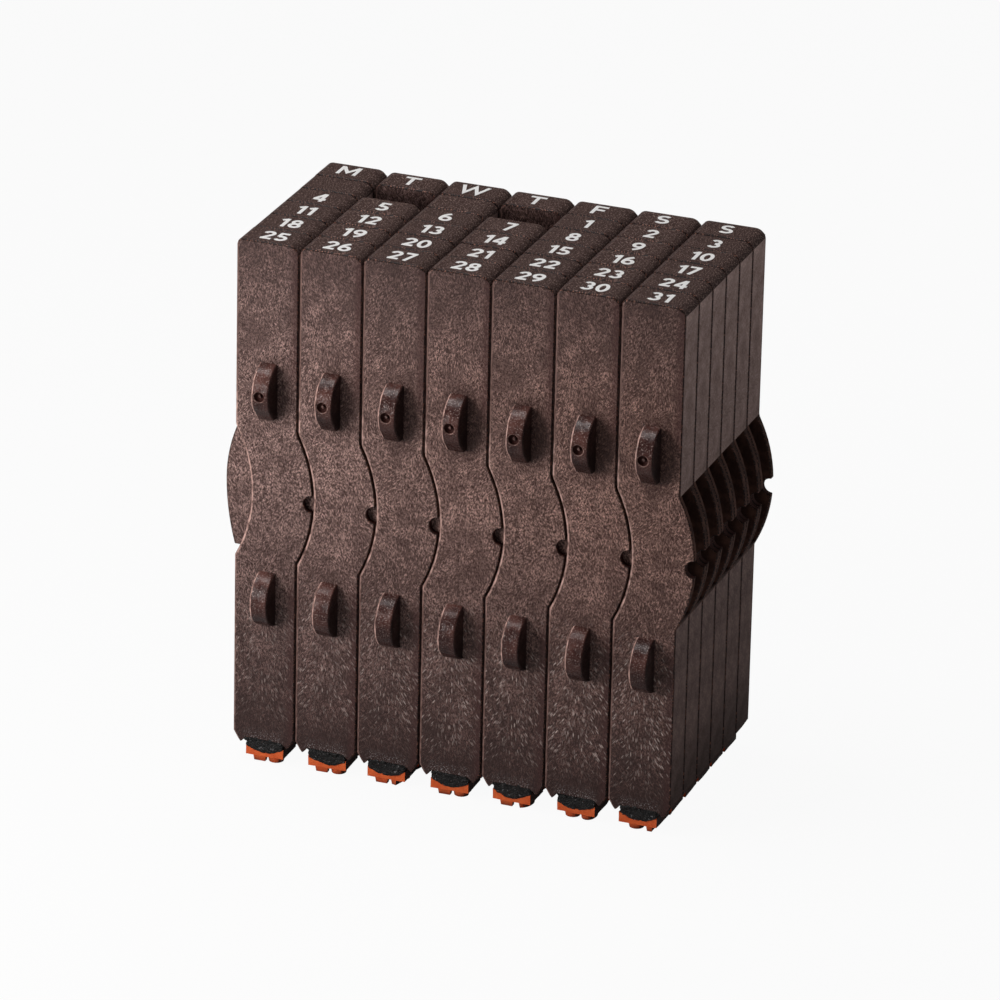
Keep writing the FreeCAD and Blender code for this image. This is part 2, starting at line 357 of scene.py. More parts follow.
# Fibres: tilt from upright in degrees, then width and length in millimetres
SWIRL = ((-38, 0.09, 0.44), (3, 0.085, 0.48), (40, 0.09, 0.42))
SWIRL_LEAST = 0.20          # the share of places without a fibre
FLOW_FADE = (0.40, 0.55, 0.25, 1.0)
FAN_FIBRE = (0.16, 0.72)
FAN_LEAST = 0.58
FAN_LEFT, FAN_UPRIGHT, FAN_RIGHT = (3.2, 2.0), ((1.6, 3.0), (5.6, 4.2)), (3.9, 5.1)
FIBRE_FADE = (0.50, 0.24)
FIBRE_MOST = 0.97
TONE_STEPS = (91.0, 57.0, 133.0)   # how far the pattern of one stamp is from the next, in millimetres


class Resin(Finish):
    """Dark brown resin with pale fibres under its skin, laid out in the handle's own millimetres."""

    def __init__(self):
        super().__init__("fibre_filled_resin")
        self.tone = self.attribute("tone")
        self.zone = {name: self.attribute(name) for name in ("edge", *ZONES)}
        self.spot = self.millimetres(self.attribute("spot", "Vector"))
        self.across, self.inward, self.height = self.split(self.spot)
        self.eastward = self.split(self.place)[0]
        self.pattern = self.pattern_place()
        self.cloud = self.noise(self.pattern, 0.45, 3.0, 0.6)[0]
        self.grain = self.noise(self.pattern, 5.5, 2.0, 0.7)[0]
        self.specks = self.noise(self.pattern, 7.0, 1.0, 0.5)[0]
        grit = self.remap(self.noise(self.pattern, 8.0, 2.0, 0.6)[0], 0.46, 0.60)
        self.lay = self.plus(self.times(self.swirl(), 0.92), self.times(grit, 0.14))

    def pattern_place(self):
        """The spot moved on from stamp to stamp, with x and y swapped on faces that look left or right."""
        moved = self.vector("ADD", self.spot, self.join(*(self.times(self.tone, step) for step in TONE_STEPS)))
        x, y, z = self.split(moved)
        sockets = {0: self.zone["flank"], 4: moved, 5: self.join(y, x, z)}
        return self.add("ShaderNodeMix", sockets, data_type="VECTOR").outputs[1]

    def fibres(self, tilt, width, length, least):
        """Pale fibres side by side, lying near one direction."""
        turned = self.add(
            "ShaderNodeVectorRotate", {"Vector": self.pattern, "Axis": (0, 1, 0), "Angle": math.radians(tilt)},
            rotation_type="AXIS_ANGLE",
        ).outputs[0]
        stretched = self.vector("MULTIPLY", turned, (1 / width, 1 / width, 1 / length))
        cells = self.add("ShaderNodeTexVoronoi", {"Vector": stretched, "Scale": 1.0}).outputs
        pick = self.add("ShaderNodeSeparateColor", {0: cells["Color"]}).outputs[0]
        return self.times(self.remap(cells["Distance"], *FIBRE_FADE), self.remap(pick, least, FIBRE_MOST))

    def swirl(self):
        """Lays of fibres over each other, each stronger where the melt flowed its way."""
        flow = self.noise(self.pattern, 0.30, 1.0)["Color"]
        ways = self.add("ShaderNodeSeparateColor", {0: flow}).outputs
        return self.most(*(
            self.times(self.fibres(*lay, SWIRL_LEAST), self.remap(way, *FLOW_FADE)) for way, lay in zip(ways, SWIRL)))

    def fan(self):
        """Sparse thick fibres above the foot, spreading downwards to both sides."""
        leaning = (
            (-36, self.remap(self.across, *FAN_LEFT)), (2, self.band(self.across, *FAN_UPRIGHT)),
            (36, self.remap(self.across, *FAN_RIGHT)),
        )
        fan = self.most(*(self.times(self.fibres(tilt, *FAN_FIBRE, FAN_LEAST), share) for tilt, share in leaning))
        return self.times(fan, self.band(self.height, *FAN_HEIGHTS), self.remap(self.eastward, *FAN_GROWTH))

    def halo(self):
        """Strongest close round the upper lug, where the skin stays smooth."""
        away = self.vector("SUBTRACT", self.spot, HALO_CENTRE)
        away = self.vector("MULTIPLY", away, (1 / HALO_SIZE[0], 0.0, 1 / HALO_SIZE[1]))
        away = self.add("ShaderNodeVectorMath", {0: away}, operation="LENGTH").outputs["Value"]
        return self.times(self.remap(away, *HALO_FADE), self.remap(self.eastward, *HALO_GROWTH))

    def clouded(self, pair):
        return self.mix(self.remap(self.cloud, 0.4, 0.62), *pair)

    def specked(self, pair, low, high, share):
        return self.mix(self.remap(self.specks, low, high, 0.0, share), *pair)

    def front(self):
        """Fibres in the middle with a painted sheen there, fewer round the lug, a fan above the foot, and painted
        shade with fewer fibres along the right margin.
        """
        middle = self.band(self.height, *FIBRE_AND_SHEEN_HEIGHTS)
        margin = self.times(
            self.remap(self.across, *MARGIN_WIDTHS), self.ends(self.height, *STRAIGHT_HEIGHTS),
            self.inverse(self.zone["flank"]))
        shown = self.times(
            self.lay, self.inverse(self.halo()), self.remap(self.height, *CLEAR_FOOT), self.inverse(margin),
            self.remap(self.cloud, 0.36, 0.62, 0.82, 1.15))
        # denser fibres and a painted sheen at mid-height, painted shade towards the top and the foot
        ground, fibre = (self.mix(middle, *pair) for pair in zip(FRONT_ENDS_SPARSE_AND_SHADED, FRONT_MIDDLE_DENSE_AND_LIT))
        front = self.mix(shown, ground, fibre)
        warmth = self.times(self.remap(self.eastward, *WARMTH_GROWTH), self.remap(middle, 0.0, 1.0, 0.4, 1.0))
        front = self.mix(warmth, front, WARM_TINT, "MULTIPLY")
        front = self.mix(self.fan(), front, FAN_COLOUR)
        # painted shade along the right margin, next to the seam
        front = self.mix(self.times(margin, 0.8), front, MARGIN_PAINTED_SHADE)
        burr = self.times(
            self.remap(self.height, *BURR_HEIGHTS), self.remap(self.specks, 0.57, 0.66, 0.0, 0.6),
            self.band(self.across, *BURR_WIDTHS))
        return self.mix(burr, front, BURR_COLOUR)

    def wall(self):
        """The right sides: mottled, with painted light high up and painted shade towards the foot, and darker along
        the seams between the rows.
        """
        mottled = self.plus(self.remap(self.cloud, 0.36, 0.66, 0.14, 0.42), self.times(self.lay, 0.55))
        mottled = self.times(mottled, self.remap(self.tone, 0.0, 1.0, 0.75, 1.15))
        low, high = self.mix(mottled, *LOW_WALL_PAINTED_SHADE), self.mix(mottled, *HIGH_WALL_PAINTED_LIGHT)
        # painted light high on the wall, painted shade low and most of it at the foot
        wall = self.mix(self.remap(self.height, *WALL_HEIGHTS), low, high)
        wall = self.mix(self.remap(self.height, *WALL_FOOT), wall, WALL_FOOT_PAINTED_SHADE)
        seam = self.times(self.ends(self.inward, *SEAM_DEPTHS), self.remap(self.specks, 0.38, 0.56, 0.9, 0.3))
        return self.mix(seam, wall, SEAM_COLOUR)

    def moulded(self):
        """The smooth skin of the lugs, with painted shade underneath and on its right side."""
        moulded = self.mix(self.remap(self.specks, 0.60, 0.71, 0.0, 0.5), self.clouded(MOULDED), MOULDED_SPECK)
        under = self.most(self.band(self.height, *UNDER_UPPER_LUG), self.remap(self.height, *UNDER_LOWER_LUG))
        # painted shade on the lower half of each lug
        moulded = self.mix(self.times(under, 0.75), moulded, UNDER_LUG_PAINTED_SHADE)
        # painted shade on the lugs' right sides
        return self.mix(self.times(self.zone["flank"], 0.6), moulded, LUG_FLANK_PAINTED_SHADE)

    def worn(self):
        """Pale wear in patches with a painted highlight, most of it along the bulge and on the lugs."""
        patches = self.remap(self.noise(self.pattern, 1.3, 3.0, 0.65)[0], 0.38, 0.60, 0.1, 1.0)
        wear_and_highlight_reach = self.most(self.band(self.height, *BULGE_HEIGHTS), self.zone["skin"])
        return self.mix(self.times(patches, self.remap(wear_and_highlight_reach, 0.0, 1.0, 0.28, 1.0)), *WEAR_AND_PAINTED_HIGHLIGHT)


def resin_finish():
    """The handles' resin: each zone has its own look over that of the fronts."""
    finish = Resin()
    looks = {
        "side": finish.wall(), "inner": finish.clouded(HOLLOW), "edge": finish.specked(RIM, 0.56, 0.66, 0.8),
        "skin": finish.moulded(), "worn": finish.worn(), "top": finish.specked(CAP, 0.56, 0.69, 0.8),
        "crest": finish.specked(RIDGE, 0.58, 0.69, 0.9), "pit": PIT_PAINTED_SHADE,
    }
    colour = finish.front()
    for name, look in looks.items():
        colour = finish.mix(finish.zone[name], colour, look)
    finish.set("Base Color", finish.mix(finish.times(finish.tone, 0.10), colour, DARKER_STAMP))
    skin, side, edge, inner, flank, pit = (
        finish.zone[name] for name in ("skin", "side", "edge", "inner", "flank", "pit"))
    dull = finish.times(finish.most(inner, flank, pit), 0.34)
    rough = finish.plus(finish.remap(finish.grain, 0.3, 0.7, 0.38, 0.54), dull)
    finish.set("Roughness", finish.math("SUBTRACT", rough, finish.times(skin, 0.17)))
    finish.set("Specular IOR Level", 0.22)
    fibred = finish.times(finish.lay, finish.inverse(finish.most(skin, side, edge)))
    uneven = finish.plus(fibred, finish.times(finish.cloud, skin, 3.5))
    finish.bump(finish.plus(finish.times(finish.grain, 0.35), uneven), 0.8, 0.08 * MM)
    return finish.material


def rubber_finish():
    """Orange stamp rubber, with painted shade low on its raised figures and on the faces that look to the right."""
    finish = Finish("stamp_rubber")
    height = finish.split(finish.place)[2]
    cloud = finish.noise(finish.place, 0.9, 3.0, 0.6)[0]
    cut = finish.noise(finish.vector("MULTIPLY", finish.place, (9.0, 9.0, 1.6)), 1.0, 3.0, 0.6)[0]
    tone = finish.mix(finish.remap(cloud, 0.3, 0.7), srgb(212, 88, 40), srgb(232, 110, 56))
    tone = finish.mix(finish.remap(cut, 0.55, 0.8, 0.0, 0.35), tone, srgb(168, 56, 22))
    # painted shade on the lower part of the raised figures, near the floor
    relief_shade = finish.times(finish.remap(height, *RELIEF_SHADE_HEIGHTS), finish.remap(cloud, 0.35, 0.6, 0.35, 0.85))
    tone = finish.mix(relief_shade, tone, srgb(104, 44, 28))
    # painted shade on the faces that look to the right
    finish.set("Base Color", finish.mix(finish.attribute("glued"), tone, srgb(44, 18, 12)))
    finish.set("Roughness", finish.remap(cut, 0.3, 0.7, 0.42, 0.6))
    finish.set("Specular IOR Level", 0.25)
    finish.bump(cut, 0.45, 0.05 * MM)
    return finish.material


def glue_finish():
    """Black foam soaked with glue, rough and shiny, with grey specks that are partly dusty and partly painted glints.
    """
    finish = Finish("black_glue")
    lumps = finish.noise(finish.place, 2.6, 4.0, 0.65)[0]
    tone = finish.mix(finish.remap(lumps, 0.35, 0.7), srgb(2, 2, 2), srgb(14, 12, 12))
    dust_and_glints = finish.noise(finish.place, 3.2, 1.0, 0.5)[0]
    # grey specks: dust, and painted glints
    finish.set("Base Color", finish.mix(finish.remap(dust_and_glints, 0.68, 0.74, 0.0, 0.6), tone, srgb(140, 138, 140)))
    finish.set("Roughness", finish.remap(lumps, 0.3, 0.7, 0.24, 0.44))
    finish.set("Specular IOR Level", 0.32)
    finish.bump(lumps, 1.0, 0.25 * MM)
    return finish.material


def print_finish():
    """White pad print, a little thin over the grain."""
    finish = Finish("white_print")
    grain = finish.noise(finish.place, 6.0, 2.0, 0.7)[0]
    thin = finish.remap(grain, 0.54, 0.78, 0.0, 0.3)
    finish.set("Base Color", finish.mix(thin, srgb(242, 240, 238), srgb(160, 148, 142)))
    finish.set("Roughness", 0.55)
    finish.bump(grain, 0.3, 0.02 * MM)
    return finish.material


# ---- geometry trees

def new_object(name, data):
    """A new object in the scene."""
    made = bpy.data.objects.new(name, data)
    bpy.context.scene.collection.objects.link(made)
    return made


class Maker(Graph):
    """A geometry node tree with named inputs, run on a mesh to give a plain mesh."""

    KINDS = {float: "NodeSocketFloat", int: "NodeSocketInt"}

    def __init__(self, name, **sizes):
        super().__init__(bpy.data.node_groups.new(name, "GeometryNodeTree"))
        self.sockets = {}
        self.socket("Places", "NodeSocketGeometry")
        for label, value in sizes.items():
            if isinstance(value, bpy.types.Object):
                self.socket(label, "NodeSocketObject")
            else:
                self.socket(label, self.KINDS[type(value)]).default_value = value
        self.socket("Finish", "NodeSocketMaterial")
        self.tree.interface.new_socket("Pieces", in_out="OUTPUT", socket_type="NodeSocketGeometry")
        self.settings = sizes
        self.inputs = self.add("NodeGroupInput").outputs

    def socket(self, label, kind):
        made = self.tree.interface.new_socket(label, in_out="INPUT", socket_type=kind)
        self.sockets[label] = made.identifier
        return made

    def moved(self, geometry, offset, **selection):
        """The geometry with its points moved."""
        sockets = {"Geometry": geometry, "Offset": offset, **selection}
        return self.add("GeometryNodeSetPosition", sockets).outputs[0]

    def stored(self, geometry, name, value, domain):
        """The geometry with a number kept on each of its elements."""
        sockets = {"Geometry": geometry, "Name": name, "Value": value}
        return self.add("GeometryNodeStoreNamedAttribute", sockets, data_type="FLOAT", domain=domain).outputs[0]

    def placed(self, shape, **sockets):
        """The shape on each place."""
        sockets.update({"Points": self.inputs["Places"], "Instance": shape})
        return self.add("GeometryNodeInstanceOnPoints", sockets).outputs[0]

    def close(self, geometry):
        """Ends the tree: realised, with its finish."""
        real = self.add("GeometryNodeRealizeInstances", {0: geometry}).outputs[0]
        done = self.add("GeometryNodeSetMaterial", {"Geometry": real, "Material": self.inputs["Finish"]})
        self.add("NodeGroupOutput", {0: done.outputs[0]})
        return self

    def run(self, mesh, name, finish, **changed):
        """A plain object from the tree, run on that mesh."""
        source = new_object(name, mesh)
        modifier = source.modifiers.new(self.tree.name, "NODES")
        modifier.node_group = self.tree
        for label, value in {**self.settings, **changed, "Finish": finish}.items():
            modifier[self.sockets[label]] = value
        bake_modifiers(source)
        source.data.name = name
        return source


def bake_modifiers(made):
    """Gives the object the mesh that its modifiers show, and takes them off."""
    graph = bpy.context.evaluated_depsgraph_get()
    graph.update()
    mesh = bpy.data.meshes.new_from_object(made.evaluated_get(graph), depsgraph=graph)
    made.modifiers.clear()
    made.data = mesh


def mesh_of(name, bm):
    """A new mesh from the bmesh, which is freed."""
    mesh = bpy.data.meshes.new(name)
    bm.to_mesh(mesh)
    bm.free()
    return mesh


def point_mesh(points, turns=()):
    """Loose points that a tree puts its pieces on, with the turn of each."""
    mesh = bpy.data.meshes.new("places")
    mesh.from_pydata([tuple(point) for point in points], [], [])
    turn = mesh.attributes.new("turn", "FLOAT", "POINT")
    for index, angle in enumerate(turns):
        turn.data[index].value = angle
    return mesh


def handle_tree(form):
    """A handle on each place, each with a tone of its own."""
    tree = Maker("handles_of_a_row", Form=form, Seed=4)
    shape = tree.add("GeometryNodeObjectInfo", {"Object": tree.inputs["Form"]}).outputs["Geometry"]
    tone = tree.add("FunctionNodeRandomValue", {"Seed": tree.inputs["Seed"]}, data_type="FLOAT").outputs[1]
    return tree.close(tree.stored(tree.placed(shape), "tone", tone, "INSTANCE"))


def turned_instances(tree, shape):
    """The shape on each place, turned as that place says."""
    turn = tree.add("GeometryNodeInputNamedAttribute", {"Name": "turn"}, data_type="FLOAT").outputs[0]
    return tree.placed(shape, Rotation=tree.join(z=turn))


def roughened(tree, geometry, scale, amount, seed):
    """The geometry with its points pushed about by noise."""
    real = tree.add("GeometryNodeRealizeInstances", {0: geometry}).outputs[0]
    place = tree.add("GeometryNodeInputPosition").outputs[0]
    sockets = {"Vector": place, "W": seed, "Scale": scale, "Detail": 3.0, "Roughness": 0.6}
    noise = tree.add("ShaderNodeTexNoise", sockets, noise_dimensions="4D").outputs["Color"]
    return tree.moved(real, tree.scaled(tree.vector("SUBTRACT", noise, (0.5, 0.5, 0.5)), amount))


def slab_in(tree, points):
    """A box of the tree's Width, Depth and Thickness, standing on its place."""
    thickness = tree.inputs["Thickness"]
    size = tree.join(tree.inputs["Width"], tree.inputs["Depth"], thickness)
    sockets = {"Size": size, "Vertices X": points[0], "Vertices Y": points[1], "Vertices Z": points[2]}
    return tree.moved(tree.add("GeometryNodeMeshCube", sockets).outputs[0], tree.join(z=tree.times(thickness, 0.5)))


def dish(tree):
    """How far out along the row, 0 in the middle and 1 at both ends, and how far up the slab."""
    x, _, z = tree.split(tree.add("GeometryNodeInputPosition").outputs[0])
    outward = tree.math("ABSOLUTE", tree.math("DIVIDE", x, tree.times(tree.inputs["Width"], 0.5)))
    return tree.math("POWER", outward, DISH_POWER), tree.math("DIVIDE", z, tree.inputs["Thickness"])


def raised_by(tree, geometry, share):
    """The geometry raised by a share of the tree's Dish."""
    return tree.moved(geometry, tree.join(z=tree.times(share, tree.inputs["Dish"])))


def glued(tree, geometry):
    """Marks the faces that look to the right, for painted shade on them."""
    rightward = tree.split(tree.add("GeometryNodeInputNormal").outputs[0])[0]
    return tree.stored(geometry, "glued", tree.remap(rightward, 0.5, 0.8), "FACE")


def plate_tree():
    """A die's rubber plate on each place, its upper face dished along the row."""
    tree = Maker(
        "die_plates", Width=DIE_WIDTH, Depth=DIE_DEPTH, Thickness=DIE_PLATE, Dish=DIE_DISH,
        Roughness=0.12 * MM, Seed=1.5,
    )
    slab = slab_in(tree, PLATE_POINTS)
    bow, upward = dish(tree)
    dished = raised_by(tree, slab, tree.times(tree.math("SUBTRACT", bow, 1.0), upward))
    plates = turned_instances(tree, glued(tree, dished))
    return tree.close(roughened(tree, plates, PLATE_GRAIN, tree.inputs["Roughness"], tree.inputs["Seed"]))


def cushion_tree():
    """A lump of foam and glue on each place, filling the dish below it."""
    tree = Maker(
        "glue_cushions", Width=CUSHION_WIDTH, Depth=CUSHION_DEPTH, Thickness=CUSHION_THICKNESS, Dish=DIE_DISH,
        Lumps=0.55 * MM, Crumbs=0.25 * MM, Seed=7.3,
    )
    slab = slab_in(tree, CUSHION_POINTS)
    bow, upward = dish(tree)
    filled = raised_by(tree, slab, tree.times(bow, tree.inverse(upward)))
    placed, seed = turned_instances(tree, filled), tree.inputs["Seed"]
    lumps = roughened(tree, placed, CUSHION_LUMPS, tree.inputs["Lumps"], seed)
    crumbs = roughened(tree, lumps, CUSHION_GRAIN, tree.inputs["Crumbs"], seed)
    return tree.close(tree.add("GeometryNodeSetShadeSmooth", {0: crumbs}).outputs[0])


def crumb_tree():
    """Small lumps of squeezed-out glue on each place, no two alike."""
    tree = Maker("glue_crumbs", Radius=CRUMB_RADIUS, Least=0.45, Roughness=0.16 * MM, Seed=3)
    ball = tree.add("GeometryNodeMeshIcoSphere", {"Radius": tree.inputs["Radius"], "Subdivisions": 2}).outputs[0]
    sockets = {2: tree.inputs["Least"], 3: 1.0, "Seed": tree.inputs["Seed"]}
    size = tree.add("FunctionNodeRandomValue", sockets, data_type="FLOAT").outputs[1]
    placed = tree.placed(ball, Scale=tree.scaled(tree.join(*CRUMB_SQUASH), size))
    rough = roughened(tree, placed, CRUMB_GRAIN, tree.inputs["Roughness"], seed=11.0)
    return tree.close(tree.add("GeometryNodeSetShadeSmooth", {0: rough}).outputs[0])


def figure_tree():
    """Flat figures raised along their own normals into closed solids, wider at the root by the draft."""
    tree = Maker("raised_figures", Height=PRINT_THICKNESS, Draft=0.0)
    way = tree.add("GeometryNodeInputNamedAttribute", {"Name": "outward"}, data_type="FLOAT_VECTOR").outputs[0]
    spread = tree.scaled(way, tree.inputs["Draft"])
    flat = tree.inputs["Places"]
    sockets = {"Mesh": flat, "Offset Scale": tree.inputs["Height"], "Individual": False}
    raised = tree.add("GeometryNodeExtrudeMesh", sockets).outputs
    root = tree.add("FunctionNodeBooleanMath", {0: raised["Top"]}, operation="NOT").outputs[0]
    walls = tree.moved(raised[0], spread, Selection=root)
    back = tree.moved(tree.add("GeometryNodeFlipFaces", {0: flat}).outputs[0], spread)
    both = tree.add("GeometryNodeJoinGeometry")
    for part in (walls, back):
        tree.feed(both.inputs[0], part)
    sockets = {"Geometry": both.outputs[0], "Distance": 0.001 * MM}
    return tree.close(glued(tree, tree.add("GeometryNodeMergeByDistance", sockets).outputs[0]))


# ---- figures
# A figure is drawn in strokes on a field one unit high; its lines run down the middle of the strokes.

def bend(x, y, across, upward, start, end, steps=12):
    """Points of an elliptical bend about (x, y), from one angle to the other, in degrees."""
    angles = [math.radians(start + (end - start) * step / steps) for step in range(steps + 1)]
    return [(x + across * math.cos(angle), y + upward * math.sin(angle)) for angle in angles]


def half_turned(strokes, width):
    """The same strokes upside down."""
    return [[(width - x, 1.0 - y) for x, y in stroke] for stroke in strokes]


SIX = [bend(0.31, 0.32, 0.215, 0.225, 0, 360, 20), bend(0.56, 0.38, 0.46, 0.57, 180, 108, 6)]

FIGURES = {
    "0": (0.62, [bend(0.31, 0.5, 0.215, 0.405, 0, 360, 24)]),
    "1": (0.42, [[(0.30, 0.0), (0.30, 1.0)], [(0.30, 0.92), (0.06, 0.76)]]),
    "2": (0.60, [bend(0.30, 0.69, 0.20, 0.215, 172, -30) + [(0.14, 0.10)], [(0.05, 0.095), (0.56, 0.095)]]),
    "3": (0.60, [bend(0.28, 0.70, 0.185, 0.205, 150, -90), bend(0.28, 0.30, 0.215, 0.205, 90, -150)]),
    "4": (0.64, [[(0.42, 0.97), (0.08, 0.32)], [(0.03, 0.29), (0.62, 0.29)], [(0.44, 0.0), (0.44, 1.0)]]),
    "5": (0.60, [
        [(0.12, 0.905), (0.53, 0.905)], [(0.17, 0.96), (0.13, 0.50)], bend(0.28, 0.32, 0.225, 0.225, 128, -145)]),
    "6": (0.62, SIX),
    "7": (0.58, [[(0.03, 0.905), (0.55, 0.905)], [(0.49, 0.93), (0.20, 0.0)]]),
    "8": (0.61, [bend(0.305, 0.71, 0.18, 0.195, 0, 360, 20), bend(0.305, 0.30, 0.21, 0.205, 0, 360, 20)]),
    "9": (0.62, half_turned(SIX, 0.62)),
    "F": (0.66, [[(0.10, 0.0), (0.10, 1.0)], [(0.10, 0.905), (0.64, 0.905)], [(0.10, 0.50), (0.58, 0.50)]]),
    "M": (0.98, [[(0.09, 0.0), (0.09, 1.0)], [(0.89, 0.0), (0.89, 1.0)], [(0.11, 0.96), (0.49, 0.26), (0.87, 0.96)]]),
    "S": (0.70, [bend(0.35, 0.70, 0.235, 0.205, 35, 270) + bend(0.35, 0.29, 0.25, 0.205, 90, -148)]),
    "T": (0.76, [[(0.0, 0.905), (0.76, 0.905)], [(0.38, 0.0), (0.38, 0.92)]]),
    "W": (1.36, [[(0.07, 1.0), (0.37, 0.06), (0.68, 0.90), (0.99, 0.06), (1.29, 1.0)]]),
}
FIGURE_SPACE = 0.07
SHARPEST_MITRE = 0.35       # the least cosine where a stroke turns
SAME_PLACE = 1e-6


def stroke_sides(points, thickness):
    """The left and right sides of a stroke, mitred where it turns."""
    points = [Vector(point) for point in points]
    closed = (points[0] - points[-1]).length < SAME_PLACE
    left, right = [], []
    for index, here in enumerate(points):
        before = points[index - 1] if index else points[-2] if closed else here
        after = points[index + 1] if index + 1 < len(points) else points[1] if closed else here
        ways = [way.normalized() for way in (here - before, after - here) if way.length > SAME_PLACE]
        along = sum(ways, Vector((0, 0))).normalized()
        reach = thickness / 2 / max(along.dot(ways[0]), SHARPEST_MITRE)
        side = Vector((-along.y, along.x)) * reach
        left.append(here + side)
        right.append(here - side)
    return left, right


def figure_faces(label, thickness):
    """Corners and triangles of a label's flat figures, one unit high, centred on the origin."""
    widths = [FIGURES[character][0] for character in label]
    start = -(sum(widths) + FIGURE_SPACE * (len(label) - 1)) / 2
    corners, quads = [], []
    for character, width in zip(label, widths):
        for stroke in FIGURES[character][1]:
            left, right = stroke_sides(stroke, thickness)
            for index in range(len(stroke) - 1):
                quads.append(list(range(len(corners), len(corners) + 4)))
                quad = (right[index], right[index + 1], left[index + 1], left[index])
                corners.extend(corner + Vector((start, -0.5)) for corner in quad)
        start += width + FIGURE_SPACE
    points, _, faces, _, _, sources = delaunay_2d_cdt(corners, [], quads, 1, 1e-5)
    return points, [face for face, source in zip(faces, sources) if source]


def mark_outward(bm):
    """Keeps with each rim point the way out of its figure, for the draft of the walls."""
    layer = bm.verts.layers.float_vector.new("outward")
    for vert in bm.verts:
        ways = []
        for edge in vert.link_edges:
            if edge.is_boundary:
                loop = edge.link_loops[0]
                along = loop.link_loop_next.vert.co - loop.vert.co
                ways.append(along.cross(loop.face.normal).normalized())
        if ways:
            out = sum(ways, Vector()).normalized()
            vert[layer] = out / max(out.dot(ways[0]), 0.5)


def flat_figures(name, placed_labels, height, thickness, downward=False):
    """One mesh of flat labels; each comes with its place and turn."""
    bm = bmesh.new()
    for label, place, turn in placed_labels:
        corners, faces = figure_faces(label, thickness)
        matrix = Matrix.Translation(place) @ Matrix.Rotation(turn, 4, "Z") @ Matrix.Scale(height, 4)
        verts = [bm.verts.new(matrix @ Vector((corner.x, corner.y, 0))) for corner in corners]
        for face in faces:
            bm.faces.new([verts[index] for index in (reversed(face) if downward else face)])
    bmesh.ops.delete(bm, geom=[vert for vert in bm.verts if not vert.link_faces], context="VERTS")
    bmesh.ops.dissolve_limit(bm, angle_limit=0.001, verts=bm.verts, edges=bm.edges)
    bm.normal_update()
    mark_outward(bm)
    return mesh_of(name, bm)


# ---- handle form

def turned_profile(name, profile, centre, steps=24):
    """A solid turned about an axis along Y through the centre; the profile gives (radius, y) pairs."""
    bm = bmesh.new()
    angles = [math.tau * step / steps for step in range(steps)]
    rings = []
    for radius, y in profile:
        rings.append([bm.verts.new(centre + Vector((radius * math.cos(a), y, radius * math.sin(a)))) for a in angles])
    for ring, following in zip(rings, rings[1:]):
        for index in range(steps):
            after = (index + 1) % steps
            bm.faces.new((ring[index], ring[after], following[after], following[index]))
    bm.faces.new(rings[0])
    bm.faces.new(rings[-1])
    bmesh.ops.recalc_face_normals(bm, faces=bm.faces)
    return new_object(name, mesh_of(name, bm))


def gate_tools():
    """The moulding gate on the upper lug: a chamfered pit to cut and the torn nub left in it."""
    pit = turned_profile("gate_pit", [
        (GATE_RADIUS + 2.2 * GATE_CHAMFER, -1.2 * GATE_CHAMFER), (GATE_RADIUS + GATE_CHAMFER, 0.0),
        (GATE_RADIUS, GATE_CHAMFER), (GATE_RADIUS * 0.92, GATE_DEPTH * 0.7), (GATE_RADIUS * 0.6, GATE_DEPTH),
    ], GATE_CENTRE)
    shoulder, rim, end = (GATE_DEPTH - height for height in NUB_HEIGHTS)
    nub = turned_profile("gate_nub", [
        (NUB_RADIUS * 1.2, GATE_DEPTH + NUB_ROOT), (NUB_RADIUS, shoulder),
        (NUB_RADIUS * 0.7, rim), (NUB_RADIUS * 0.25, end),
    ], GATE_CENTRE + NUB_SHIFT, 14)
    return (("DIFFERENCE", pit), ("UNION", nub))


def edge_rounding(edge):
    """How far an edge of the raw handle is rounded; 0 for soft and hollow edges."""
    if not (edge.is_manifold and edge.is_convex and edge.calc_face_angle() > ROUNDED_ANGLE):
        return 0.0
    front = min(vert.co.y for vert in edge.verts)
    if front < -5 * HAIR:
        return LUG_ROUNDING
    if front < HAIR and min(face.normal.x for face in edge.link_faces) < -0.3:
        return LEFT_ROUNDING
    lowest = min(vert.co.z for vert in edge.verts)
    if lowest > TOP_Z - TOP_ZONE and max(face.normal.z for face in edge.link_faces) > 0.5:
        return ROW_ROUNDING
    return EDGE_ROUNDING


def round_edges(bm):
    """Rounds the edges, the widest first, and marks the new faces as edge faces."""
    layer = bm.faces.layers.float.new("edge")
    for offset in (LEFT_ROUNDING, LUG_ROUNDING, ROW_ROUNDING, EDGE_ROUNDING):
        edges = [edge for edge in bm.edges if edge_rounding(edge) == offset]
        made = bmesh.ops.bevel(
            bm, geom=edges, offset=offset, segments=ROUNDING_STEPS, profile=0.5, affect="EDGES", clamp_overlap=False)
        for face in made["faces"]:
            face[layer] = 1.0


def flatten_front(bm):
    """Puts back into the front's plane the points that the rounded lug ends pulled out of it."""
    for face in bm.faces:
        if face.normal.y < -0.9 and face.calc_area() > LARGE_FACE:
            for vert in face.verts:
                if -LUG_ROUNDING < vert.co.y < 0:
                    vert.co.y = 0.0
    bm.normal_update()


def run_booleans(form, tools):
    """Cuts and joins the tools, and removes them."""
    for operation, tool in tools:
        cut = form.modifiers.new(tool.name, "BOOLEAN")
        cut.operation, cut.solver, cut.object = operation, "EXACT", tool
    bake_modifiers(form)
    for _, tool in tools:
        bpy.data.objects.remove(tool)


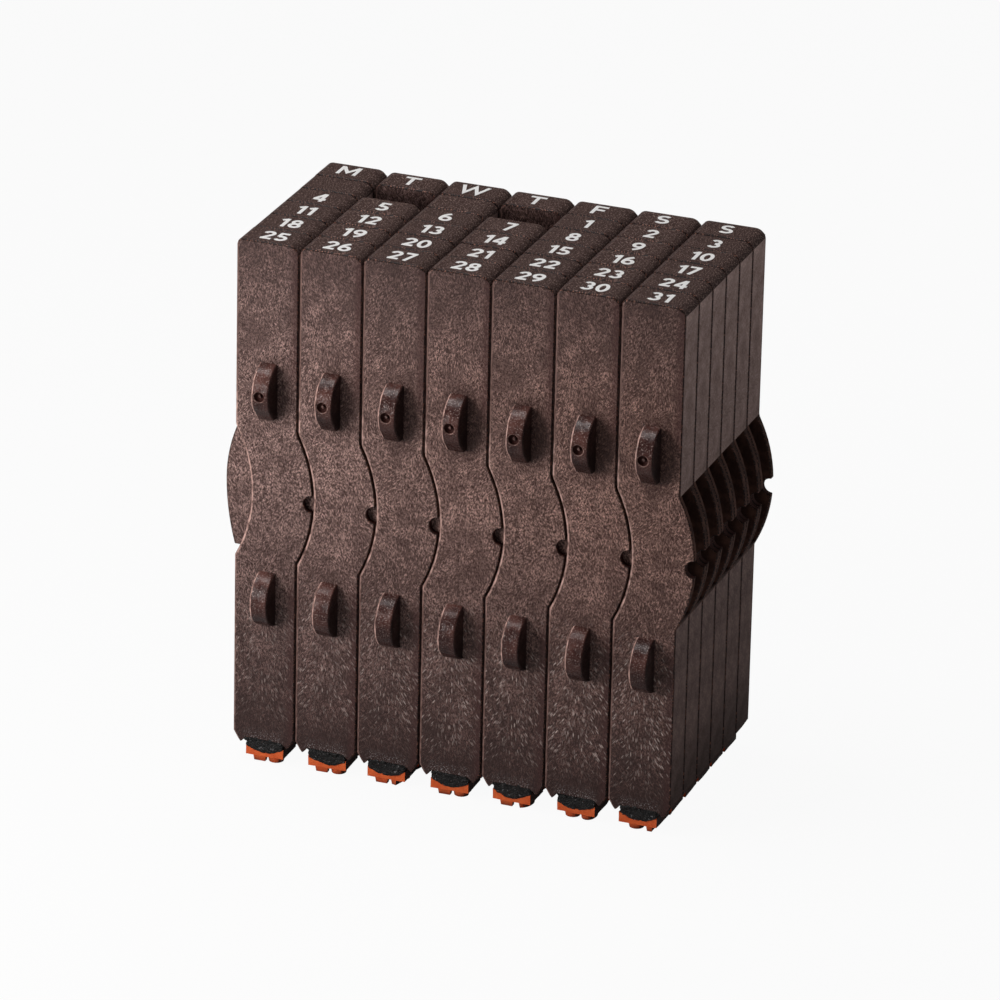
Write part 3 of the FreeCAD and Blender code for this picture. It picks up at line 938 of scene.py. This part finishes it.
def gate_zones(middle, normal):
    """Whether a face is on the gate's rim, its nub's end or its inner walls."""
    away = (middle.xz - GATE_CENTRE.xz).length
    rim = GATE_RADIUS < away < GATE_RADIUS + GATE_CHAMFER and normal.y > -0.95 and middle.y < -2.0 * MM
    nub_end = away < NUB_RADIUS and middle.y < GATE_CENTRE.y + GATE_DEPTH - 5 * HAIR
    wall = away < GATE_RADIUS and GATE_CENTRE.y + 3 * HAIR < middle.y < -1.5 * MM and not nub_end
    return rim, nub_end, wall


def zones_of(face, rounded):
    """What kinds of surface a face of the handle is."""
    middle, normal = face.calc_center_median(), face.normal
    within = 2 * HAIR < middle.y < HANDLE_DEPTH - 2 * HAIR
    on_side = min(abs(middle.x), abs(middle.x - HANDLE_WIDTH)) < HAIR
    near_top = middle.z > TOP_Z - TOP_ZONE
    left_edge = rounded and middle.y < 0.2 * MM and normal.x < -0.2 and normal.y < -0.1
    lug_edge = rounded and middle.y < -0.3 * MM and normal.x < -0.3 and normal.z > 0.0
    gate_rim, nub_end, gate_wall = gate_zones(middle, normal)
    notch_wall = within and (middle.xz - NOTCH_CENTRE.xz).length < NOTCH_RADIUS + 3 * HAIR
    return {
        "skin": middle.y < -4 * HAIR,
        "side": within and on_side and normal.x > 0.5,
        "top": near_top and normal.z > 0.2 and not (rounded and abs(normal.y) > 0.15),
        "inner": within and not on_side and not rounded and middle.x > 1.5 * MM,
        # pale wear with a painted highlight on the left edges, the lugs' left edges, the gate's rim and its nub
        "worn": 0.5 if gate_rim else 0.25 if nub_end else 0.75 if lug_edge else left_edge,
        "crest": rounded and near_top and normal.z > 0.3 and normal.y < -0.2,
        # painted shade inside the gate's pit and the notch
        "pit": gate_wall or notch_wall,
        "flank": abs(normal.x) > 0.7,
    }


def mark_zones(mesh):
    """Keeps with each face its kinds of surface, with each point its place, and where the shading breaks."""
    bm = bmesh.new()
    bm.from_mesh(mesh)
    edge_layer = bm.faces.layers.float["edge"]
    zones = {name: bm.faces.layers.float.new(name) for name in ZONES}
    spot = bm.verts.layers.float_vector.new("spot")
    for vert in bm.verts:
        vert[spot] = vert.co
    for face in bm.faces:
        face.smooth = True
        for name, share in zones_of(face, face[edge_layer] > 0.5).items():
            face[zones[name]] = float(share)
    for edge in bm.edges:
        if edge.is_manifold:
            rounded = [face[edge_layer] > 0.5 for face in edge.link_faces]
            edge.smooth = all(rounded) or not any(rounded) and edge.calc_face_angle() < SHARP_ANGLE
    bm.to_mesh(mesh)
    bm.free()


def handle_form(node):
    """One handle with rounded edges and its gate, its left front foot on the origin."""
    bm = bmesh.new()
    bm.from_mesh(frame["nodes"][node].data)
    bmesh.ops.translate(bm, verts=bm.verts, vec=-Vector((LEFT_X, FRONT_Y, 0)))
    bmesh.ops.remove_doubles(bm, verts=bm.verts, dist=SHORTEST_EDGE)
    bmesh.ops.dissolve_limit(bm, angle_limit=FLAT_ANGLE, verts=bm.verts, edges=bm.edges)
    round_edges(bm)
    flatten_front(bm)
    bmesh.ops.triangulate(bm, faces=[face for face in bm.faces if len(face.verts) > 4])
    form = new_object("handle_form", mesh_of("handle_form", bm))
    run_booleans(form, gate_tools())
    mark_zones(form.data)
    return form


# ---- pieces

def crumb_places(stamps):
    """Places of glue crumbs along the lower front edge of each handle."""
    chance = random.Random(CRUMB_SEED)
    places = []
    for stamp in stamps:
        for index in range(CRUMBS):
            across = ((index + 0.5) / CRUMBS - 0.5) * CRUMB_SPAN + chance.uniform(-CRUMB_SHIFT, CRUMB_SHIFT)
            height = CUSHION_TOP - chance.uniform(0.0, CRUMB_DROP)
            inward = chance.uniform(*CRUMB_INWARD)
            places.append(Vector((stamp.corner.x + HANDLE_WIDTH / 2 + across, stamp.corner.y + inward, height)))
    return places


def nodes_of(body, kind):
    """The body's solids of one kind."""
    return [name for name in frame["record"]["behaviour"]["bodies"][body] if name.startswith(kind)]


def hand_over(piece, body, kind=None):
    """Puts a piece on its body and the kind of solids it stands for."""
    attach(piece, body)
    if kind:
        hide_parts(*nodes_of(body, kind))


def make_prints(figures, white, body, dated):
    """The print on the body's top faces."""
    labels = []
    for stamp in dated:
        middle = NUMBER_CENTRE if stamp.label.isdigit() else LETTER_CENTRE
        labels.append((stamp.label, stamp.corner + Vector((*middle, TOP_Z - PRINT_SUNK)), 0.0))
    flat = flat_figures("flat_print", labels, PRINT_HEIGHT, PRINT_STROKE)
    hand_over(figures.run(flat, "print_" + body, white, Height=PRINT_THICKNESS + PRINT_SUNK), body)


def make_dies(plates, figures, rubber, body, dated, turns):
    """The body's die plates and their raised figures."""
    floor = Vector((0, 0, RELIEF_HEIGHT))
    places = point_mesh([stamp.die_centre + floor for stamp in dated], turns)
    hand_over(plates.run(places, "plates_" + body, rubber), body, "dies")
    root = floor + Vector((*FIGURE_OFFSET, FIGURE_SUNK))
    labels = [(stamp.label, stamp.die_centre + root, stamp.die_turn) for stamp in dated]
    flat = flat_figures("flat_relief", labels, FIGURE_DEPTH, FIGURE_STROKE, downward=True)
    raised = figures.run(flat, "figures_" + body, rubber, Height=RELIEF_HEIGHT + FIGURE_SUNK, Draft=FIGURE_DRAFT)
    hand_over(raised, body, "dies")


def make_pieces():
    """Every piece of every body."""
    resin, rubber, glue, white = resin_finish(), rubber_finish(), glue_finish(), print_finish()
    form = handle_form("handle_day_25")
    handles, figures = handle_tree(form), figure_tree()
    plates, cushions, crumbs = plate_tree(), cushion_tree(), crumb_tree()
    block = all_stamps()
    for body in frame["bodies"]:
        stamps = [stamp for stamp in block if stamp.body == body]
        places = point_mesh([stamp.corner for stamp in stamps])
        hand_over(handles.run(places, "handles_" + body, resin), body, "handle")
        dated = [stamp for stamp in stamps if stamp.label]
        if not dated:
            continue
        turns = [stamp.die_turn for stamp in dated]
        make_prints(figures, white, body, dated)
        make_dies(plates, figures, rubber, body, dated, turns)
        over = Vector((0, 0, CUSHION_TOP - CUSHION_THICKNESS))
        places = point_mesh([stamp.die_centre + over for stamp in dated], turns)
        hand_over(cushions.run(places, "cushions_" + body, glue), body, "cushions")
        places = point_mesh(crumb_places(dated))
        hand_over(crumbs.run(places, "crumbs_" + body, glue), body)
    bpy.data.objects.remove(form)


# ---- studio
# Lengths of the studio are in metres, energies in watts, angles in degrees.

WORLD_COLOUR = (0.95, 0.97, 1.0, 1)
WORLD_LIGHT = 0.13
WORLD_SEEN = 0.955
WORLD_GLOSS = 0.05
FLOOR_REACH = 1.5
FLOOR_COLOUR = (0.56, 0.56, 0.56, 1)
FLOOR_SEEN = 0.94
FLOOR_GLOSS = 0.06
CAMERA_PLACE = (0.27049, -0.72069, 0.35675)
CAMERA_DOWN, CAMERA_TURN, CAMERA_ROLL = 22.905, 20.529, 1.291
CAMERA_LENS = 269.85
LAMPS = {
    # name: place, aim, size, energy, colour
    "key": ((-0.094, -0.110, 0.071), (-0.011, -0.01, 0.038), (0.06, 0.07), 0.130, (1.0, 0.955, 0.935)),
    "over": ((-0.10, -0.02, 0.34), (0.0, 0.0, 0.06), (0.16, 0.14), 0.62, (1.0, 1.0, 1.0)),
    "back_fill": ((0.30, 0.28, 0.22), (0.0, 0.0, 0.032), (0.20, 0.16), 0.16, (1.0, 0.93, 0.90)),
}


def lamp(name, place, aim, size, energy, colour):
    """A soft rectangular lamp at a place, facing the aim."""
    data = bpy.data.lights.new(name, "AREA")
    data.shape = "RECTANGLE"
    data.size, data.size_y = size
    data.energy = energy
    data.color = colour
    made = new_object(name, data)
    made.location = place
    made.rotation_euler = (Vector(aim) - Vector(place)).to_track_quat("-Z", "Y").to_euler()


def show_white(graph, lit, white, seen, gloss, output):
    """Ends a tree: lit, and white by these shares for the eye and in reflections."""
    ray = graph.add("ShaderNodeLightPath").outputs
    eye = graph.times(graph.most(ray["Is Camera Ray"], ray["Is Transmission Ray"]), seen)
    share = graph.most(eye, graph.times(ray["Is Glossy Ray"], gloss))
    shown = graph.add("ShaderNodeMixShader", {0: share, 1: lit, 2: white.outputs[0]})
    graph.feed(graph.tree.nodes[output].inputs[0], shown.outputs[0])


def make_world():
    """A plain pale room: white where it is seen, dim as a light, and dim in the barely glossy resin."""
    world = bpy.data.worlds.new("studio")
    bpy.context.scene.world = world
    world.use_nodes = True
    graph = Graph(world.node_tree)
    dim = graph.tree.nodes["Background"]
    dim.inputs[0].default_value = WORLD_COLOUR
    dim.inputs[1].default_value = WORLD_LIGHT
    white = graph.add("ShaderNodeBackground", {0: (WORLD_SEEN, WORLD_SEEN, WORLD_SEEN, 1), 1: 1.0})
    show_white(graph, dim.outputs[0], white, 1.0, WORLD_GLOSS, "World Output")


def make_floor():
    """A plain level floor, white where it is seen and grey as a reflector."""
    bm = bmesh.new()
    bmesh.ops.create_grid(bm, x_segments=1, y_segments=1, size=FLOOR_REACH)
    floor = new_object("floor", mesh_of("floor", bm))
    material = bpy.data.materials.new("pale_floor")
    material.use_nodes = True
    graph = Graph(material.node_tree)
    matte = graph.tree.nodes["Principled BSDF"]
    matte.inputs["Base Color"].default_value = FLOOR_COLOUR
    matte.inputs["Roughness"].default_value = 0.9
    white = graph.add("ShaderNodeEmission", {0: (1, 1, 1, 1), 1: 1.0})
    show_white(graph, matte.outputs[0], white, FLOOR_SEEN, FLOOR_GLOSS, "Material Output")
    floor.data.materials.append(material)


def make_camera():
    """A far camera with a long lens, looking down on the front and right sides."""
    data = bpy.data.cameras.new("camera")
    data.sensor_width = 36.0
    data.lens = CAMERA_LENS
    data.clip_end = 10.0
    camera = new_object("camera", data)
    camera.location = CAMERA_PLACE
    look = Euler((math.radians(90 - CAMERA_DOWN), 0, math.radians(CAMERA_TURN))).to_matrix()
    camera.rotation_euler = (look @ Matrix.Rotation(math.radians(CAMERA_ROLL), 3, "Z")).to_euler()
    bpy.context.scene.camera = camera


def make_studio():
    """The room, the floor, the camera and the lamps."""
    bpy.context.scene.view_settings.view_transform = "Standard"
    make_world()
    make_floor()
    make_camera()
    for name, settings in LAMPS.items():
        lamp(name, *settings)


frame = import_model()
make_pieces()
make_studio()
